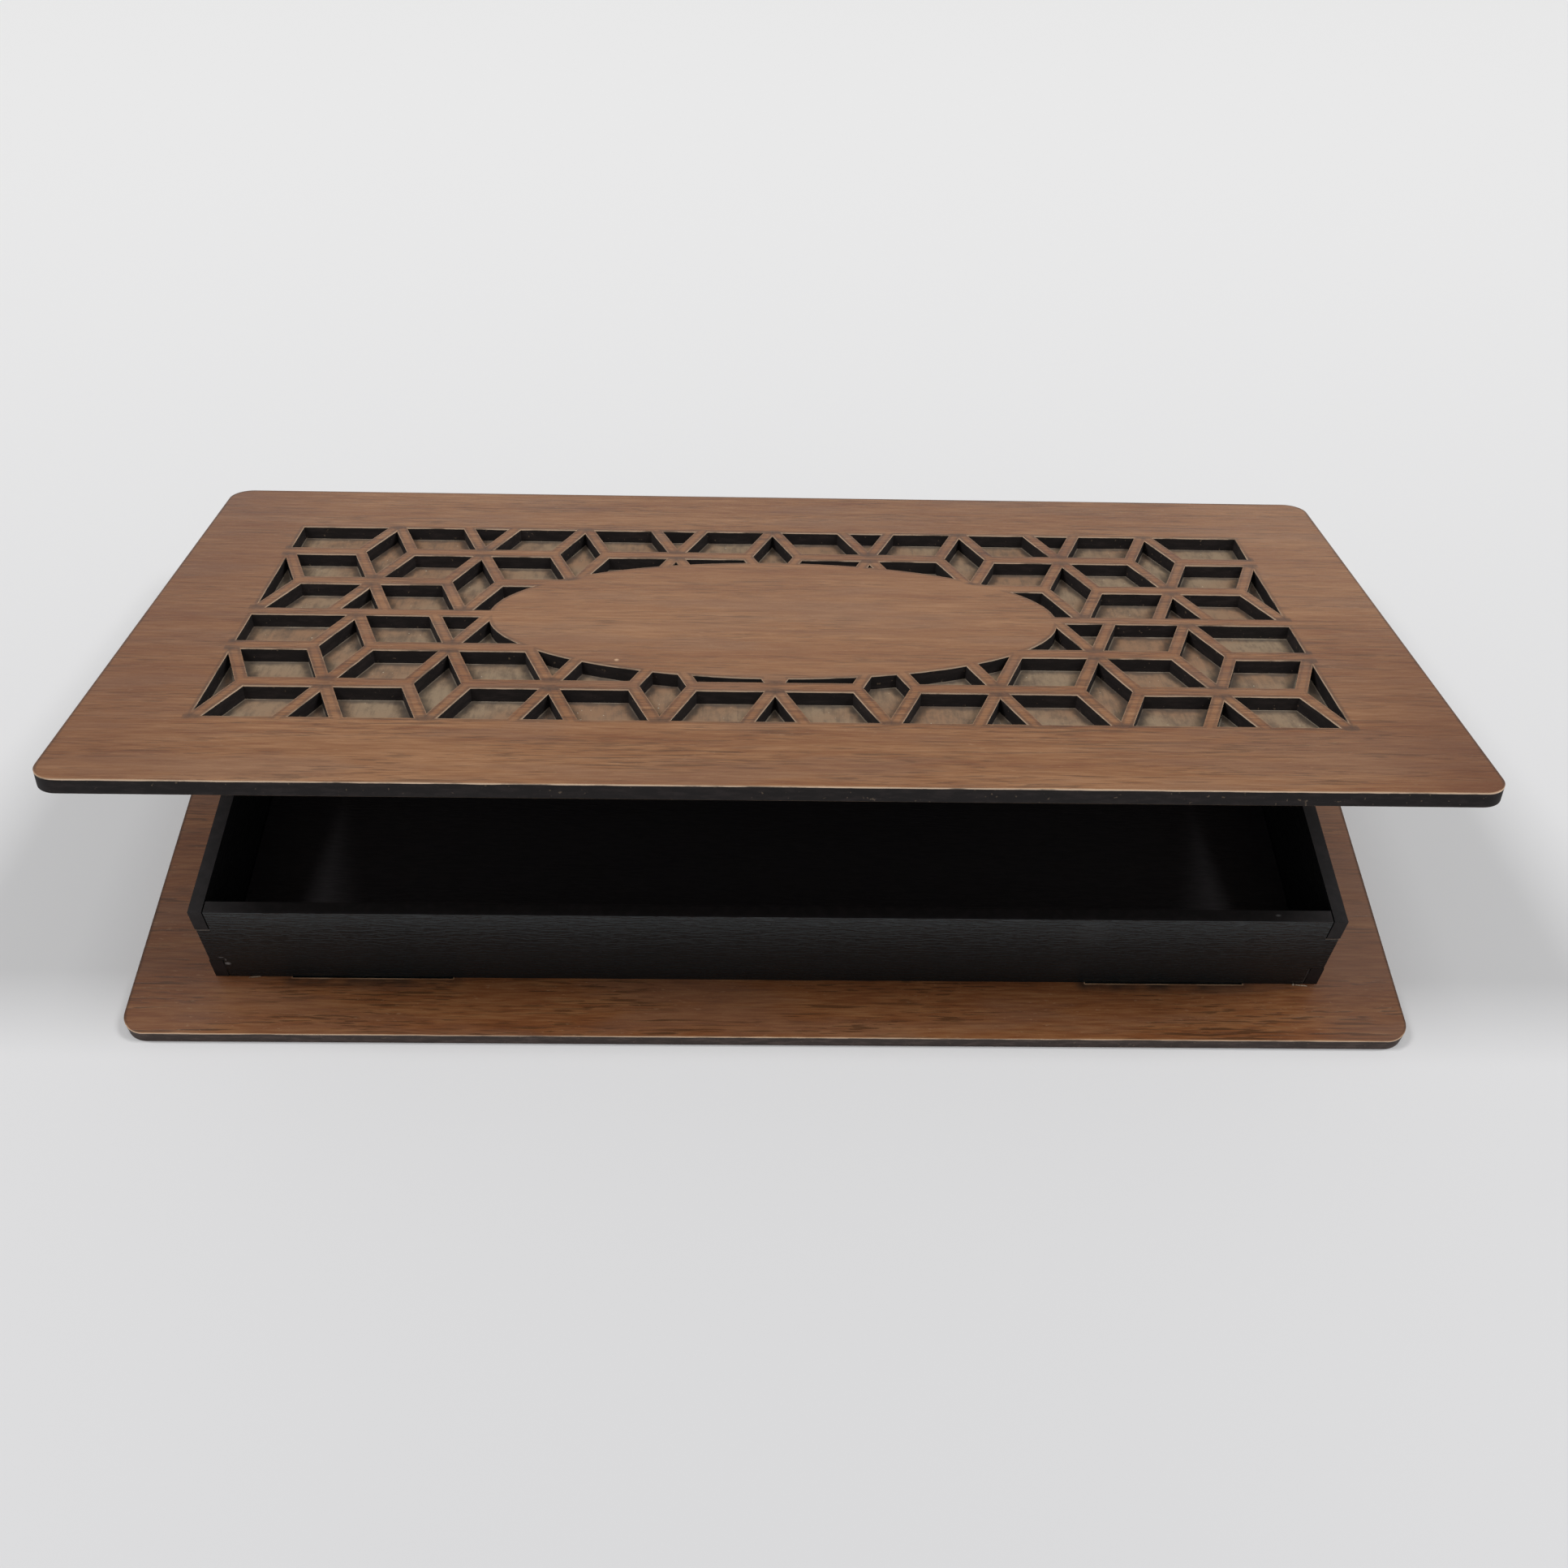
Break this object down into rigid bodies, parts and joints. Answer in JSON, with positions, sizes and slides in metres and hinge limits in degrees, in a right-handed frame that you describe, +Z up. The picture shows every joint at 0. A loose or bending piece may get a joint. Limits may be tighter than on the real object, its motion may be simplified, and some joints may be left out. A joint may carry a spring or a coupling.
{
  "type": "patterned box",
  "caption": "Shallow rectangular wooden box: black finger-jointed tray on a walnut-faced base plate, with a hinged lid cut as a lattice of stars and rhombi round a plain oval.",
  "frame": {"origin": "centre of the base plate's underside, on the surface the box rests on", "axes": "+X to the right along the length, +Y to the rear where the hinges are, +Z up; the front is -Y"},
  "size_m": [0.3, 0.157, 0.078],
  "materials": {
    "walnut_foil": "satin walnut-grained facing on board, cut edges burnt dark",
    "black_board": "black faced board with a fine level grain, semi-matt",
    "raw_board": "raw grey-tan board, matt",
    "brass": "plain pressed brass, slightly dull"
  },
  "bodies": {
    "box": {"base_plate": "walnut_foil", "tray_floor": "black_board", "tray_front_wall": "black_board", "tray_rear_wall": "black_board", "tray_left_wall": "black_board", "tray_right_wall": "black_board", "left_hinge_fixed_leaf": "brass", "left_hinge_pin": "brass", "right_hinge_fixed_leaf": "brass", "right_hinge_pin": "brass", "tray_leaf_screws": "brass"},
    "lid": {"lid_lattice_plate": "walnut_foil", "lid_backing_panel": "raw_board", "lid_inner_panel": "black_board", "left_hinge_moving_leaf": "brass", "right_hinge_moving_leaf": "brass", "lid_leaf_screws": "brass"}
  },
  "joints": [
    {"name": "lid_hinge", "type": "hinge", "parent": "box", "child": "lid", "pos_m": [0, 0.0611, 0.0341], "axis": [-1, 0, 0], "range_deg": [-17.4, 81]}
  ]
}
